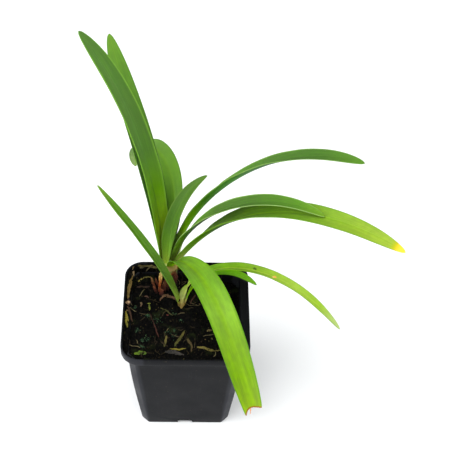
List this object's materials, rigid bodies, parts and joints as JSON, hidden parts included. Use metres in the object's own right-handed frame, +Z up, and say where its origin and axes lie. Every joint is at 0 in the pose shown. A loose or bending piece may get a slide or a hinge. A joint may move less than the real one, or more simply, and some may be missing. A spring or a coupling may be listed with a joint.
{
  "type": "potted agapanthus plant",
  "caption": "Young agapanthus with arching, channelled strap leaves and a small side shoot, growing in soil in a tapered square nursery pot.",
  "frame": {"origin": "centre of the pot's flat base, on the surface it stands on", "axes": "+Z up, -Y towards the front of the pot where the broad bright leaf hangs over the rim, +X to the right with the long arching leaves"},
  "size_m": [0.199, 0.2144, 0.2901],
  "materials": {
    "pot_plastic": "satin moulded plastic",
    "soil": "loose damp compost",
    "shoot_main": "pale tan leaf bases",
    "shoot_side": "pale green leaf bases",
    "dry_sheath": "dry and fibrous",
    "leaf_dark": "smooth and slightly glossy",
    "leaf_mid": "smooth and slightly glossy",
    "leaf_light": "smooth and slightly glossy",
    "leaf_bright": "smooth and slightly glossy",
    "leaf_yellowing": "smooth, turning yellow towards the tip",
    "litter_tan": "dead and dull",
    "litter_olive": "dead and dull",
    "litter_brown": "dead and dull",
    "litter_green": "dying and dull",
    "litter_grey": "dead and dull"
  },
  "bodies": {
    "root": {"pot": "pot_plastic", "soil": "soil", "shoot_main": "shoot_main", "shoot_side": "shoot_side", "dry_sheath": "dry_sheath", "leaf_left_tall_front": "leaf_dark", "leaf_left_tall_back": "leaf_light", "leaf_back_arched": "leaf_mid", "leaf_centre_short": "leaf_mid", "leaf_right_upper": "leaf_dark", "leaf_right_middle": "leaf_dark", "leaf_right_long": "leaf_yellowing", "leaf_front_broad": "leaf_bright", "leaf_side_short": "leaf_light", "leaf_side_long": "leaf_light", "leaf_side_left": "leaf_dark", "litter_tan_on_left_ledge": "litter_tan", "litter_olive_on_back_ledge": "litter_olive", "litter_stalk_on_left_ledge": "litter_green", "litter_olive_back_left": "litter_olive", "litter_brown_left": "litter_brown", "litter_tan_arc": "litter_tan", "litter_red_stem": "litter_brown", "litter_green_front_left": "litter_green", "litter_olive_front": "litter_olive", "litter_olive_front_curved": "litter_olive", "litter_yellow_front": "litter_green", "litter_grey_front": "litter_grey", "litter_curl_front": "litter_olive", "litter_root_front_right": "litter_tan", "litter_red_bit": "litter_brown"}
  },
  "joints": []
}
